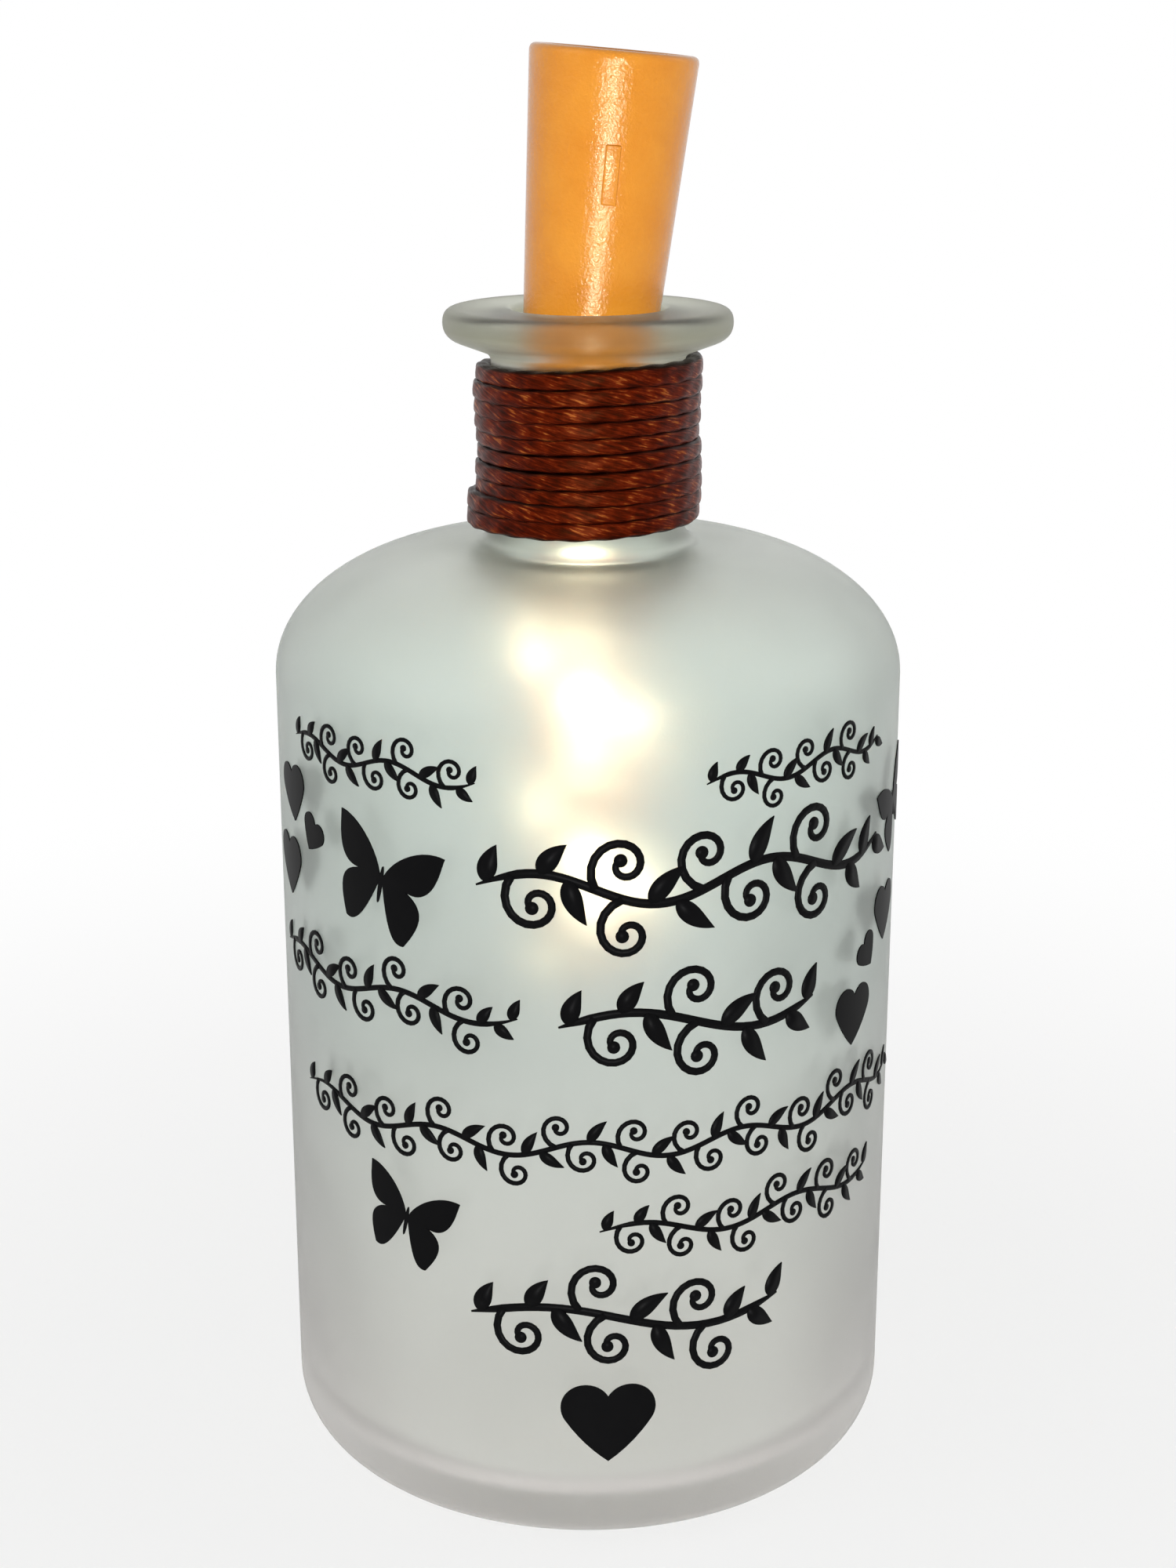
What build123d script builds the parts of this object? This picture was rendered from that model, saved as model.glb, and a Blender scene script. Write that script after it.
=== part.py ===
"""Cork bottle light: a frosted apothecary bottle whose cork holds a battery light.

Millimetres, +Z up. The origin is the middle of the base, the front of the bottle faces -Y,
and the cork leans a little towards +X in the mouth.
"""
import os
from math import acos, cos, degrees, dist, pi, radians, sin, sqrt

from build123d import *

# Glass bottle
body_radius = 41.0
body_wall = 3.0
bottle_height = 155.0
heel_radius = 8.0
foot_ring_inner = 24.0
push_up = 3.0
floor_thickness = 6.0
inner_heel_radius = 6.0
shoulder_start = 108.4
shoulder_rise = 16.7
neck_wall = 2.9
neck_fillet = 2.5
inner_neck_fillet = 4.0
lip_overhang = 6.1
lip_band = 3.5
lip_slope = 2.3
lip_top_edge = 2.2
lip_lower_edge = 1.0
mouth_edge = 1.2

# Cord round the neck
cord_thickness = 1.6
cord_pitch = 2.05
cord_sides = 6
cord_clearance = 0.15
cord_start = 0.25

# Black vinyl motifs on the glass, drawn in shares of their width
vinyl_thickness = 0.15
vinyl_adhesive = 0.03
vinyl_reach = 4.0
wing_body_width = 0.019
wing_body_length = 0.15
wing_body_drop = 0.03
upper_wing = [
    (0, -0.02), (0.04, 0.20), (0.30, 0.41), (0.50, 0.38), (0.48, 0.30), (0.50, -0.05), (0.22, 0.01),
]
lower_wing = [
    (0.22, 0.01), (0.48, -0.07), (0.38, -0.27), (0.30, -0.42), (0.21, -0.45), (0.13, -0.38), (0.02, -0.02),
]
heart_lobe_x = 0.235
heart_lobe_y = 0.13
heart_lobe_radius = 0.27
heart_side_angle = -33.0
heart_tip = 0.51

# Each motif's angle from the front, height, width and turn
hearts = [
    (3.6, 20.0, 12.0, 0),
    (-66, 96.2, 8.2, 8), (-57.3, 92.0, 5.3, -26), (-69, 86.0, 8.8, 4),
    (55.8, 68.2, 8.7, -5), (60.4, 75.5, 5.2, 34), (69.5, 79.3, 8.4, -3),
    (-116, 88.0, 8.5, 14), (-121, 80.0, 5.0, -20), (-133, 66.0, 9.0, 10),
    (113, 73.0, 8.5, -12), (118, 65.5, 5.0, 18), (126, 57.0, 9.0, -8),
]
butterflies = [
    (-38, 89.2, 16.6, -12.5), (-34, 44.6, 13.9, -12.5), (74, 93.0, 13.0, 20), (-148, 45.0, 13.0, 25),
]

# Cork-shaped light: lengths run up its own axis from its foot
cork_lean = 5.1
cork_offset = 0.5
cork_inserted = 18.5
cork_length = 50.0
cork_taper = 0.06
cork_wall = 0.7
cork_foot_edge = 0.8
cork_top_edge = 1.0
cork_floor = 2.0
mouth_clearance = 0.3
wire_hole_radius = 0.9
head_clearance = 0.3

# Battery carrier that drops into the cork from above
head_ledge = 1.7
head_thickness = 2.8
head_recess = 0.6
head_edge = 0.4
carrier_wall = 0.65
carrier_clearance = 0.3
bulkhead = 1.2
loading_side = 2.0
lead_slot = 1.0

# Three button cells, the spring under them and the contact over them
cell_count = 3
cell_radius = 5.8
cell_height = 5.4
cell_cap_radius = 4.7
cell_cap_height = 0.5
cell_edge = 0.3
cell_clearance = 0.15
spring_height = 3.5
spring_wire = 0.5
spring_foot_radius = 4.0
spring_top_radius = 2.0
spring_turns = 3
spring_sides = 6
spring_clearance = 0.05
plate_radius = 5.2
plate_thickness = 0.3
tab_width = 1.4
tab_proud = 0.3
tab_clearance = 0.15

# Slide switch under the carrier's head
switch_length = 8.6
switch_width = 3.8
switch_height = 3.6
switch_sheet = 0.3
switch_edge = 0.25
switch_travel = 2.0
base_height = 1.0
base_clearance = 0.05
pin_count = 3
pin_pitch = 2.5
pin_length = 0.6
pin_width = 0.4
pin_proud = 0.2
pin_drop = 3.0
stem_length = 1.6
stem_width = 1.2
block_length = 3.6
block_width = 2.6
slider_clearance = 0.15
knob_length = 2.6
knob_width = 2.4
knob_low = 0.3
pocket_length = 6.4
pocket_width = 4.0
pocket_depth = 1.6

# Resistor and the leads inside the cork
resistor_radius = 0.9
resistor_length = 3.6
resistor_drop = 2.4
resistor_clearance = 1.0
lead_radius = 0.25
lead_bend = 0.7
lead_stub = 0.3
lead_tail = 0.9
slack_radius = 4.2
slack_turns = 2.25
slack_turn_in = 2.6
seal_radius = 1.7
seal_drop = 1.2
seal_clearance = 0.05

# Light string in the bottle
string_thickness = 0.6
string_sides = 4
string_straight = 4.0
coil_top = 119.5
coil_foot = 66.0
coil_radius = 6.5
coil_waver = 0.35
coil_drift = 0.7
coil_start = 0.5
steps_per_turn = 4
lamp_count = 10
lamp_first = 3
lamp_steps = 9
bead_length = 4.4
bead_radius = 1.3
bead_clearance = 0.05
chip_length = 1.6
chip_width = 0.8
chip_height = 0.5
chip_lift = 0.1


def finish(piece, name):
    """Name a finished piece and write it."""
    piece.label = name
    export_step(piece, f"parts/{name}.step")


def station(place, turn, radius, height, widening=0.0, rise=0.0):
    """A point of a winding, so many turns round a place's axis, and the way it runs there."""
    angle = 2 * pi * turn
    outward = place.x_dir * cos(angle) + place.y_dir * sin(angle)
    sideways = place.y_dir * cos(angle) - place.x_dir * sin(angle)
    point = place.origin + outward * radius + place.z_dir * height
    way = sideways * (2 * pi * radius) + outward * widening + place.z_dir * rise
    return point, way.normalized()


def meeting(start, end):
    """Where two arcs that join two stations smoothly meet, and the way they run there."""
    (start_point, start_way), (end_point, end_way) = start, end
    chord = end_point - start_point
    along = chord.dot(start_way + end_way)
    spread = 2 * (1 - start_way.dot(end_way))
    reach = (sqrt(along**2 + spread * chord.dot(chord)) - along) / spread
    first = start_point + start_way * reach
    last = end_point - end_way * reach
    return (first + last) * 0.5, (last - first).normalized()


def wind(stations):
    """One smooth wire through the stations: arcs, and a straight run between two that run the same way."""
    with BuildLine() as line:
        for start, end in zip(stations, stations[1:]):
            if start[1] == end[1]:
                Line(start[0], end[0])
            else:
                middle, middle_way = meeting(start, end)
                TangentArc(start[0], middle, tangent=start[1])
                TangentArc(middle, end[0], tangent=middle_way)
    return line.wire()


def report_winding(name, path, thickness, turn_length):
    """Print a winding's length and the least gap between its turns."""
    count = int(path.length / thickness)
    points = [tuple(path @ (step / count)) for step in range(count + 1)]
    apart = int(turn_length / 2 / thickness)
    gap = min(dist(a, b) for i, a in enumerate(points) for b in points[i + apart:]) - thickness
    print(f"{name}: {path.length:.1f} mm long, least gap to itself {gap:.2f} mm")


def glass_plane(angle, height, turn=0.0):
    """Plane that touches the glass, with X running round the bottle and Y up, then turned."""
    around = radians(angle)
    outward = Vector(sin(around), -cos(around), 0)
    sideways = Vector(cos(around), sin(around), 0)
    level = sideways * cos(radians(turn)) + Vector(0, 0, sin(radians(turn)))
    return Plane(origin=outward * body_radius + Vector(0, 0, height), x_dir=level, z_dir=outward)


os.makedirs("parts", exist_ok=True)

# Radii from the cells outwards: trough, carrier, cork, mouth, neck and lip
trough_radius = cell_radius + cell_clearance
carrier_radius = trough_radius + carrier_wall
cork_cavity_radius = carrier_radius + carrier_clearance
head_radius = cork_cavity_radius + head_ledge
cork_foot_radius = cork_cavity_radius + cork_wall
cork_top_radius = cork_foot_radius + cork_taper * cork_length
bore_radius = cork_foot_radius + cork_taper * cork_inserted + cork_offset + mouth_clearance
neck_radius = bore_radius + neck_wall
lip_radius = neck_radius + lip_overhang

# Heights and radii of the bottle
shoulder_top = shoulder_start + shoulder_rise
neck_top = bottle_height - lip_band - lip_slope
inner_radius = body_radius - body_wall
inner_shoulder_top = shoulder_top - body_wall

with BuildPart() as glass_bottle:
    with BuildSketch(Plane.XZ) as bottle_profile:
        with BuildLine():
            TangentArc((0, push_up), (foot_ring_inner, 0), tangent=(1, 0))
            Line((foot_ring_inner, 0), (body_radius - heel_radius, 0))
            TangentArc((body_radius - heel_radius, 0), (body_radius, heel_radius), tangent=(1, 0))
            Line((body_radius, heel_radius), (body_radius, shoulder_start))
            EllipticalCenterArc(
                (neck_radius + neck_fillet, shoulder_start),
                body_radius - neck_radius - neck_fillet, shoulder_rise,
            )
            TangentArc(
                (neck_radius + neck_fillet, shoulder_top),
                (neck_radius, shoulder_top + neck_fillet), tangent=(-1, 0),
            )
            Polyline(
                (neck_radius, shoulder_top + neck_fillet),
                (neck_radius, neck_top),
                (lip_radius, neck_top + lip_slope),
                (lip_radius, bottle_height),
                (bore_radius, bottle_height),
                (bore_radius, inner_shoulder_top + inner_neck_fillet),
            )
            TangentArc(
                (bore_radius, inner_shoulder_top + inner_neck_fillet),
                (bore_radius + inner_neck_fillet, inner_shoulder_top), tangent=(0, -1),
            )
            EllipticalCenterArc(
                (bore_radius + inner_neck_fillet, shoulder_start),
                inner_radius - bore_radius - inner_neck_fillet,
                inner_shoulder_top - shoulder_start,
            )
            Line((inner_radius, shoulder_start), (inner_radius, floor_thickness + inner_heel_radius))
            TangentArc(
                (inner_radius, floor_thickness + inner_heel_radius),
                (inner_radius - inner_heel_radius, floor_thickness), tangent=(0, -1),
            )
            TangentArc(
                (0, floor_thickness + push_up),
                (inner_radius - inner_heel_radius, floor_thickness), tangent=(1, 0),
            )
            Line((0, floor_thickness + push_up), (0, push_up))
        make_face()
        for corner, edge in (
            ((lip_radius, neck_top + lip_slope), lip_lower_edge),
            ((lip_radius, bottle_height), lip_top_edge),
            ((bore_radius, bottle_height), mouth_edge),
        ):
            fillet(bottle_profile.vertices().sort_by_distance(corner)[0], edge)
    revolve(axis=Axis.Z)
finish(glass_bottle.part, "glass_bottle")

# The cord starts on the shoulder and climbs to the underside of the lip
cord_radius = neck_radius + cord_clearance + cord_thickness / 2
cord_foot = shoulder_top + neck_fillet + cord_clearance
cord_top = neck_top - cord_clearance - cord_thickness / 2
cord_steps = int((cord_top - cord_foot) / cord_pitch * steps_per_turn)
cord_path = wind([
    station(Plane.XY, step / steps_per_turn + cord_start, cord_radius,
            cord_foot + cord_pitch * step / steps_per_turn, rise=cord_pitch)
    for step in range(cord_steps + 1)
])
report_winding("neck_cord", cord_path, cord_thickness, 2 * pi * cord_radius)

with BuildPart() as neck_cord:
    with BuildSketch(Plane(origin=cord_path @ 0, z_dir=cord_path % 0)):
        RegularPolygon(radius=cord_thickness / 2, side_count=cord_sides)
    sweep(path=cord_path)
finish(neck_cord.part, "neck_cord")

notch_angle = degrees(acos(-heart_lobe_x / heart_lobe_radius))

with BuildPart() as vinyl_film:
    with BuildSketch(Plane.XY):
        Circle(body_radius + vinyl_adhesive + vinyl_thickness)
        Circle(body_radius + vinyl_adhesive, mode=Mode.SUBTRACT)
    extrude(amount=bottle_height)

with BuildPart() as vinyl_hearts:
    for angle, height, width, turn in hearts:
        with BuildSketch(glass_plane(angle, height, turn)):
            with BuildLine():
                lobe = CenterArc(
                    (heart_lobe_x * width, heart_lobe_y * width), heart_lobe_radius * width,
                    notch_angle, heart_side_angle - notch_angle,
                )
                TangentArc(lobe @ 1, (0, -heart_tip * width), tangent=lobe % 1)
                mirror(about=Plane.YZ)
            make_face()
        extrude(amount=vinyl_reach, both=True)
    add(vinyl_film.part, mode=Mode.INTERSECT)
finish(vinyl_hearts.part, "vinyl_hearts")

with BuildPart() as vinyl_butterflies:
    for angle, height, width, turn in butterflies:
        with BuildSketch(glass_plane(angle, height, turn)):
            with BuildLine():
                for wing in (upper_wing, lower_wing):
                    outline = [(x * width, y * width) for x, y in wing]
                    Bezier(*outline[:4])
                    Bezier(*outline[3:])
                Line(outline[-1], (0, outline[-1][1]))
            make_face()
            mirror(about=Plane.YZ)
            with Locations((0, -wing_body_drop * width)):
                Ellipse(wing_body_width * width, wing_body_length * width)
        extrude(amount=vinyl_reach, both=True)
    add(vinyl_film.part, mode=Mode.INTERSECT)
finish(vinyl_butterflies.part, "vinyl_butterflies")

# The cork's own axis, its foot and its levels
cork_up = Vector(sin(radians(cork_lean)), 0, cos(radians(cork_lean)))
cork_right = Vector(cos(radians(cork_lean)), 0, -sin(radians(cork_lean)))
cork_foot = Vector(cork_offset, 0, bottle_height) - cork_up * cork_inserted
cork_side = Plane(origin=cork_foot, x_dir=cork_right, z_dir=(0, -1, 0))
cork_depth = Plane(origin=cork_foot, x_dir=(0, 1, 0), z_dir=cork_right)
cork_axis = Axis(cork_foot, cork_up)


def cork_level(height):
    """Plane across the cork, at a height above its foot."""
    return Plane(origin=cork_foot + cork_up * height, x_dir=cork_right, z_dir=cork_up)


seat = cork_length - head_recess - head_thickness
head_bore = head_radius + head_clearance

with BuildPart() as cork_shell:
    with BuildSketch(cork_side) as shell_profile:
        with BuildLine():
            Polyline(
                (wire_hole_radius, 0),
                (cork_foot_radius, 0),
                (cork_top_radius, cork_length),
                (head_bore, cork_length),
                (head_bore, seat),
                (cork_cavity_radius, seat),
                (cork_cavity_radius, cork_floor),
                (wire_hole_radius, cork_floor),
                close=True,
            )
        make_face()
        for corner, edge in (
            ((cork_foot_radius, 0), cork_foot_edge),
            ((cork_top_radius, cork_length), cork_top_edge),
        ):
            fillet(shell_profile.vertices().sort_by_distance(corner)[0], edge)
    revolve(axis=cork_axis)
finish(cork_shell.part, "cork_shell")

# Levels of what the carrier holds, from its head down
switch_foot = seat - switch_height
pin_foot = switch_foot - pin_drop
resistor_level = pin_foot - resistor_drop
upper_bulkhead = resistor_level - resistor_radius - resistor_clearance - bulkhead
tab_top = upper_bulkhead + bulkhead + tab_proud
cells_top = upper_bulkhead - plate_thickness
cells_foot = cells_top - cell_count * cell_height
spring_foot = cells_foot - spring_height
carrier_foot = spring_foot - bulkhead
carrier_length = seat - carrier_foot
slot_length = stem_length + switch_travel + 2 * slider_clearance
slot_width = stem_width + 2 * slider_clearance

with BuildPart() as battery_carrier:
    with BuildSketch(cork_level(carrier_foot)):
        Circle(carrier_radius)
        Circle(trough_radius, mode=Mode.SUBTRACT)
    extrude(amount=carrier_length)
    for level in (carrier_foot, upper_bulkhead):
        with BuildSketch(cork_level(level)):
            Circle(carrier_radius)
        extrude(amount=bulkhead)
    with BuildSketch(cork_level(carrier_foot)):
        with Locations((0, -loading_side)):
            Rectangle(2 * carrier_radius, carrier_radius, align=(Align.CENTER, Align.MAX))
        with Locations((0, trough_radius)):
            Rectangle(lead_slot, 2 * (carrier_radius - trough_radius))
    extrude(amount=carrier_length, mode=Mode.SUBTRACT)
    with BuildSketch(cork_level(upper_bulkhead)):
        with Locations((pin_pitch, 0)):
            Rectangle(plate_thickness + 2 * tab_clearance, tab_width + 2 * tab_clearance)
    extrude(amount=bulkhead, mode=Mode.SUBTRACT)
    with BuildSketch(cork_level(seat)):
        Circle(head_radius)
    extrude(amount=head_thickness)
    fillet(battery_carrier.faces().sort_by(cork_axis)[-1].edges(), head_edge)
    with BuildSketch(cork_level(seat + head_thickness)):
        RectangleRounded(pocket_length, pocket_width, head_edge)
    extrude(amount=-pocket_depth, mode=Mode.SUBTRACT)
    with BuildSketch(cork_level(seat)):
        Rectangle(slot_length, slot_width)
    extrude(amount=head_thickness, mode=Mode.SUBTRACT)
finish(battery_carrier.part, "battery_carrier")

for number in range(cell_count):
    cell_foot = cells_foot + number * cell_height
    with BuildPart() as button_cell:
        with BuildSketch(cork_level(cell_foot + cell_cap_height)):
            Circle(cell_radius)
        extrude(amount=cell_height - cell_cap_height)
        fillet(button_cell.edges(), cell_edge)
        with BuildSketch(cork_level(cell_foot)):
            Circle(cell_cap_radius)
        extrude(amount=cell_cap_height)
    finish(button_cell.part, f"button_cell_{number + 1}")

spring_low = spring_foot + spring_wire / 2 + spring_clearance
spring_rise = (cells_foot - spring_wire / 2 - spring_clearance - spring_low) / spring_turns
spring_taper = (spring_top_radius - spring_foot_radius) / spring_turns
spring_path = wind([
    station(cork_level(spring_low), step / steps_per_turn,
            spring_foot_radius + spring_taper * step / steps_per_turn,
            spring_rise * step / steps_per_turn, spring_taper, spring_rise)
    for step in range(spring_turns * steps_per_turn + 1)
])
report_winding("contact_spring", spring_path, spring_wire, 2 * pi * spring_top_radius)

with BuildPart() as contact_spring:
    with BuildSketch(Plane(origin=spring_path @ 0, z_dir=spring_path % 0)):
        RegularPolygon(radius=spring_wire / 2, side_count=spring_sides)
    sweep(path=spring_path)
finish(contact_spring.part, "contact_spring")

with BuildPart() as contact_plate:
    with BuildSketch(cork_level(cells_top)):
        Circle(plate_radius)
    extrude(amount=plate_thickness)
    with BuildSketch(cork_level(cells_top)):
        with Locations((pin_pitch, 0)):
            Rectangle(plate_thickness, tab_width)
    extrude(amount=tab_top - cells_top)
finish(contact_plate.part, "contact_plate")

inside_length = switch_length - 2 * switch_sheet
inside_width = switch_width - 2 * switch_sheet

with BuildPart() as switch_frame:
    with BuildSketch(cork_level(switch_foot)):
        RectangleRounded(switch_length, switch_width, switch_edge)
    extrude(amount=switch_height)
    with BuildSketch(cork_level(switch_foot)):
        Rectangle(inside_length, inside_width)
    extrude(amount=switch_height - switch_sheet, mode=Mode.SUBTRACT)
    with BuildSketch(cork_level(switch_foot)):
        Rectangle(slot_length, slot_width)
    extrude(amount=switch_height, mode=Mode.SUBTRACT)
finish(switch_frame.part, "switch_frame")

with BuildPart() as switch_base:
    with BuildSketch(cork_level(switch_foot)):
        Rectangle(inside_length - 2 * base_clearance, inside_width - 2 * base_clearance)
        with GridLocations(pin_pitch, 0, pin_count, 1):
            Rectangle(
                pin_length + 2 * base_clearance, pin_width + 2 * base_clearance, mode=Mode.SUBTRACT
            )
    extrude(amount=base_height)
finish(switch_base.part, "switch_base")

with BuildPart() as switch_pins:
    with BuildSketch(cork_level(pin_foot)):
        with GridLocations(pin_pitch, 0, pin_count, 1):
            Rectangle(pin_length, pin_width)
    extrude(amount=pin_drop + base_height + pin_proud)
finish(switch_pins.part, "switch_pins")

block_foot = switch_foot + base_height + pin_proud + slider_clearance
block_top = seat - switch_sheet - slider_clearance
knob_foot = seat + head_thickness - pocket_depth + slider_clearance
knob_top = seat + head_thickness - knob_low

with BuildPart() as switch_slider:
    for foot, top, length, width in (
        (block_foot, block_top, block_length, block_width),
        (block_foot, knob_top, stem_length, stem_width),
        (knob_foot, knob_top, knob_length, knob_width),
    ):
        with BuildSketch(cork_level(foot)):
            with Locations((-switch_travel / 2, 0)):
                Rectangle(length, width)
        extrude(amount=top - foot)
finish(switch_slider.part, "switch_slider")

with BuildPart() as resistor:
    with BuildLine(cork_side) as resistor_lead:
        FilletPolyline(
            (-pin_pitch, pin_foot), (-pin_pitch, resistor_level),
            (pin_pitch, resistor_level), (pin_pitch, tab_top),
            radius=lead_bend,
        )
    with BuildSketch(Plane(origin=resistor_lead.line @ 0, z_dir=resistor_lead.line % 0)):
        Circle(lead_radius)
    sweep(path=resistor_lead.line)
    with BuildSketch(cork_side):
        with Locations((0, resistor_level)):
            Rectangle(resistor_length, resistor_radius, align=(Align.CENTER, Align.MIN))
    revolve(axis=Axis(cork_level(resistor_level).origin, cork_right))
finish(resistor.part, "resistor")

lead_drop = lead_bend + lead_stub
lead_line = (trough_radius + carrier_radius) / 2
lead_foot = carrier_foot - lead_tail

with BuildPart() as switch_lead:
    with BuildLine(cork_depth) as switch_lead_path:
        FilletPolyline(
            (0, pin_foot), (0, pin_foot - lead_drop),
            (lead_line, pin_foot - lead_drop), (lead_line, lead_foot),
            radius=lead_bend,
        )
    with BuildSketch(Plane(origin=switch_lead_path.line @ 0, z_dir=switch_lead_path.line % 0)):
        Circle(lead_radius)
    sweep(path=switch_lead_path.line)
finish(switch_lead.part, "switch_lead")

# Slack between the cork's floor and the carrier, so that the carrier can be drawn out
slack_steps = int(slack_turns * steps_per_turn)
slack_rise = lead_foot - cork_floor - 2 * slack_turn_in
slack_stations = [(cork_level(cork_floor).origin, cork_up)]
slack_stations += [
    station(cork_level(cork_floor + slack_turn_in), step / steps_per_turn, slack_radius,
            slack_rise * step / slack_steps, rise=slack_rise / slack_turns)
    for step in range(slack_steps + 1)
]
slack_stations += [(cork_level(lead_foot).from_local_coords((0, lead_line, 0)), cork_up)]
slack_path = wind(slack_stations)
report_winding("slack_lead", slack_path, string_thickness, 2 * pi * slack_radius)

with BuildPart() as slack_lead:
    with BuildSketch(Plane(origin=slack_path @ 0, z_dir=slack_path % 0)):
        RegularPolygon(radius=string_thickness / 2, side_count=string_sides)
    sweep(path=slack_path)
finish(slack_lead.part, "slack_lead")

wire_bore = string_thickness / 2 + seal_clearance

with BuildPart() as wire_seal:
    with BuildSketch(cork_side):
        with BuildLine():
            TangentArc((seal_radius, 0), (wire_bore, -seal_drop), tangent=(0, -1))
            Polyline(
                (wire_bore, -seal_drop),
                (wire_bore, cork_floor),
                (wire_hole_radius - seal_clearance, cork_floor),
                (wire_hole_radius - seal_clearance, 0),
                (seal_radius, 0),
            )
        make_face()
    revolve(axis=cork_axis)
finish(wire_seal.part, "wire_seal")

# The string leaves the cork straight, swings out and hangs in loops no wider than the mouth
coil_steps = lamp_first + (lamp_count - 1) * lamp_steps + 1
coil_pitch = (coil_top - coil_foot) * steps_per_turn / coil_steps


def coil_station(step):
    """A point of the hanging loops, which differ a little in size and drift to one side."""
    share = step / coil_steps
    place = Plane(origin=(coil_drift * (2 * share - 1), 0, coil_top))
    radius = coil_radius + coil_waver * sin(step)
    turns = step / steps_per_turn
    return station(place, coil_start + turns, radius, -coil_pitch * turns, rise=-coil_pitch)


lamp_stations = {lamp_first + number * lamp_steps: number + 1 for number in range(lamp_count)}
lamp_run = bead_length / 2 + string_thickness
string_stations = [(cork_level(cork_floor).origin, -cork_up), (cork_level(-string_straight).origin, -cork_up)]
for step in range(coil_steps + 1):
    point, way = coil_station(step)
    if step in lamp_stations:
        string_stations += [(point - way * lamp_run, way), (point + way * lamp_run, way)]
    else:
        string_stations.append((point, way))
string_path = wind(string_stations)
report_winding("light_string", string_path, string_thickness, 2 * pi * coil_radius)

with BuildPart() as light_string:
    with BuildSketch(Plane(origin=string_path @ 0, z_dir=string_path % 0)):
        RegularPolygon(radius=string_thickness / 2, side_count=string_sides)
    sweep(path=string_path)
finish(light_string.part, "light_string")

for step, number in lamp_stations.items():
    point, way = coil_station(step)
    bead_side = Plane(origin=point, x_dir=way, z_dir=way.cross(Vector(0, 0, 1)))
    chip_plane = bead_side.offset(string_thickness / 2 + chip_lift)
    with BuildPart() as bead:
        with BuildSketch(bead_side):
            with BuildLine():
                EllipticalCenterArc((0, 0), bead_length / 2, bead_radius, arc_size=180)
                Line((-bead_length / 2, 0), (bead_length / 2, 0))
            make_face()
            Rectangle(bead_length, string_thickness + 2 * bead_clearance, mode=Mode.SUBTRACT)
        revolve(axis=Axis(point, way))
        with BuildSketch(chip_plane):
            Rectangle(chip_length, chip_width)
        extrude(amount=chip_height, mode=Mode.SUBTRACT)
    finish(bead.part, f"led_bead_{number:02d}")
    with BuildPart() as chip:
        with BuildSketch(chip_plane):
            Rectangle(chip_length, chip_width)
        extrude(amount=chip_height)
    finish(chip.part, f"led_chip_{number:02d}")
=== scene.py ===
# %% [markdown]
# # A cork bottle light
# A frosted bottle with a cord round its neck, black vinyl on its glass and a light string that hangs from a
# cork-shaped stopper. The frame is the part as it was engineered, with a named node for each piece. It could
# be shown as it is, but glass, cord and wire need finer meshes, so each cell dresses or replaces one piece.

# %% Load the frame
from math import atan2, cos, dist, exp, hypot, pi, radians, sin, sqrt

import bpy
from mathutils import Matrix, Vector


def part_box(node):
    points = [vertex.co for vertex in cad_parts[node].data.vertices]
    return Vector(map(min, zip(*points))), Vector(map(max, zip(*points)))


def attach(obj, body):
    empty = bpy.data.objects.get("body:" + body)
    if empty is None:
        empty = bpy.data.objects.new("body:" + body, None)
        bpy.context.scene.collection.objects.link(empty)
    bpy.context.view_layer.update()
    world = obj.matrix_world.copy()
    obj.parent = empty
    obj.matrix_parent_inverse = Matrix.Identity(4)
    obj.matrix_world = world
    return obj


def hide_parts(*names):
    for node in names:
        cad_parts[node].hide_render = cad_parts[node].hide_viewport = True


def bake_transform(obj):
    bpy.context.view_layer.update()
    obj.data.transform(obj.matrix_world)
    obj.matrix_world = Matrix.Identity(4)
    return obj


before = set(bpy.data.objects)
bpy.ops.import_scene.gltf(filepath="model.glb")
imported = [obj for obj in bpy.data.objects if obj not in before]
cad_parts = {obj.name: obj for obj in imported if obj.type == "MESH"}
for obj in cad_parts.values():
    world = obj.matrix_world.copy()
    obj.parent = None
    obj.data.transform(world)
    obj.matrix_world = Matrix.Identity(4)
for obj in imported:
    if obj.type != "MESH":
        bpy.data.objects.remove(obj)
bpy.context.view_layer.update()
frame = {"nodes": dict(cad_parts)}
nodes, scene = frame["nodes"], bpy.context.scene
MM = 0.001
bottle_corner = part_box("glass_bottle")[1] / MM
print("bottle's far corner, mm:", [round(side, 1) for side in bottle_corner])

# %% [markdown]
# ## Camera
# A camera could be set by eye. This one was worked out from the bottle's outline, so that base, shoulder,
# lip and cork fall where they do in a picture of 1500 by 2000. It stands in front and looks down by 17
# degrees.

# %% Camera
camera_place, camera_dip, nearest_seen = Vector((0, -322.06, 189.96)) * MM, radians(16.97), 0.01
focal_pixels, picture_height, sensor_height = 3200, 2000, 36.0


def into_scene(name, data):
    """Put a new object in the scene, as the only one that operators act on."""
    made = bpy.data.objects.new(name, data)
    scene.collection.objects.link(made)
    bpy.ops.object.select_all(action="DESELECT")
    made.select_set(True)
    bpy.context.view_layer.objects.active = made
    return made


camera = into_scene("camera", bpy.data.cameras.new("camera"))
camera.data.sensor_width = sensor_height
camera.data.lens = focal_pixels / picture_height * sensor_height
camera.data.clip_start = nearest_seen
camera.location = camera_place
camera.rotation_euler = (pi / 2 - camera_dip, 0, 0)
scene.camera = camera
scene.view_settings.view_transform = "Standard"
print("lens, mm:", round(camera.data.lens, 1))

# %% [markdown]
# ## Helpers for lines
# A wire follows a line. Its points could be worked out one by one, but Blender's smooth curves give an even
# line from a few, so a curve is laid along the route, its points are read, and it is thrown away.

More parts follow.
